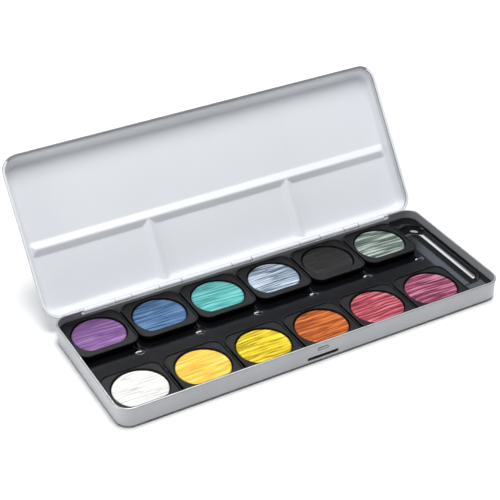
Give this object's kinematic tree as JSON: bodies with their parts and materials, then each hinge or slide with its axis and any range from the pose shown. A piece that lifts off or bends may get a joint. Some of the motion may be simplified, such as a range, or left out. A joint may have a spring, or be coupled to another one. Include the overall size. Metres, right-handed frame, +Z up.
{
  "type": "watercolor pan set",
  "caption": "Long shallow metal paint tin with a hinged lid pressed into mixing wells, holding rows of lift-out square black pans filled with round cakes of pearlescent watercolour.",
  "frame": {"origin": "centre of the flat underside of the base tin", "axes": "+X along the tin's long side, with the empty bay at its end; +Y from the catch towards the hinge; +Z up"},
  "size_m": [0.249, 0.153, 0.089],
  "materials": {
    "silver_paint": "satin",
    "white_enamel": "gloss",
    "wire_steel": "satin",
    "black_insert": "gloss",
    "black_pan": "satin",
    "paint_violet": "satin",
    "paint_blue": "satin",
    "paint_turquoise": "satin",
    "paint_pale_blue": "satin",
    "paint_black": "satin",
    "paint_grey_green": "satin",
    "paint_white": "satin",
    "paint_pale_gold": "satin",
    "paint_lemon": "satin",
    "paint_orange": "satin",
    "paint_coral": "satin",
    "paint_magenta": "satin"
  },
  "bodies": {
    "tin": {"base_tin": "silver_paint", "hinge_pin": "wire_steel", "insert_tray": "black_insert"},
    "lid_body": {"lid": "white_enamel"},
    "pan_01_filled": {"pan_01": "black_pan", "cake_violet": "paint_violet"},
    "pan_02_filled": {"pan_02": "black_pan", "cake_blue": "paint_blue"},
    "pan_03_filled": {"pan_03": "black_pan", "cake_turquoise": "paint_turquoise"},
    "pan_04_filled": {"pan_04": "black_pan", "cake_pale_blue": "paint_pale_blue"},
    "pan_05_filled": {"pan_05": "black_pan", "cake_black": "paint_black"},
    "pan_06_filled": {"pan_06": "black_pan", "cake_grey_green": "paint_grey_green"},
    "pan_07_filled": {"pan_07": "black_pan", "cake_white": "paint_white"},
    "pan_08_filled": {"pan_08": "black_pan", "cake_pale_gold": "paint_pale_gold"},
    "pan_09_filled": {"pan_09": "black_pan", "cake_lemon": "paint_lemon"},
    "pan_10_filled": {"pan_10": "black_pan", "cake_orange": "paint_orange"},
    "pan_11_filled": {"pan_11": "black_pan", "cake_coral": "paint_coral"},
    "pan_12_filled": {"pan_12": "black_pan", "cake_magenta": "paint_magenta"}
  },
  "joints": [
    {"name": "lid_hinge", "type": "hinge", "parent": "tin", "child": "lid_body", "pos_m": [0, 0.0476, 0.0107], "axis": [-1, 0, 0], "range_deg": [-125, 0]},
    {"name": "pan_01_lift", "type": "slide", "parent": "tin", "child": "pan_01_filled", "axis": [0, 0, 1], "range_m": [0, 0.03]},
    {"name": "pan_02_lift", "type": "slide", "parent": "tin", "child": "pan_02_filled", "axis": [0, 0, 1], "range_m": [0, 0.03]},
    {"name": "pan_03_lift", "type": "slide", "parent": "tin", "child": "pan_03_filled", "axis": [0, 0, 1], "range_m": [0, 0.03]},
    {"name": "pan_04_lift", "type": "slide", "parent": "tin", "child": "pan_04_filled", "axis": [0, 0, 1], "range_m": [0, 0.03]},
    {"name": "pan_05_lift", "type": "slide", "parent": "tin", "child": "pan_05_filled", "axis": [0, 0, 1], "range_m": [0, 0.03]},
    {"name": "pan_06_lift", "type": "slide", "parent": "tin", "child": "pan_06_filled", "axis": [0, 0, 1], "range_m": [0, 0.03]},
    {"name": "pan_07_lift", "type": "slide", "parent": "tin", "child": "pan_07_filled", "axis": [0, 0, 1], "range_m": [0, 0.03]},
    {"name": "pan_08_lift", "type": "slide", "parent": "tin", "child": "pan_08_filled", "axis": [0, 0, 1], "range_m": [0, 0.03]},
    {"name": "pan_09_lift", "type": "slide", "parent": "tin", "child": "pan_09_filled", "axis": [0, 0, 1], "range_m": [0, 0.03]},
    {"name": "pan_10_lift", "type": "slide", "parent": "tin", "child": "pan_10_filled", "axis": [0, 0, 1], "range_m": [0, 0.03]},
    {"name": "pan_11_lift", "type": "slide", "parent": "tin", "child": "pan_11_filled", "axis": [0, 0, 1], "range_m": [0, 0.03]},
    {"name": "pan_12_lift", "type": "slide", "parent": "tin", "child": "pan_12_filled", "axis": [0, 0, 1], "range_m": [0, 0.03]}
  ]
}
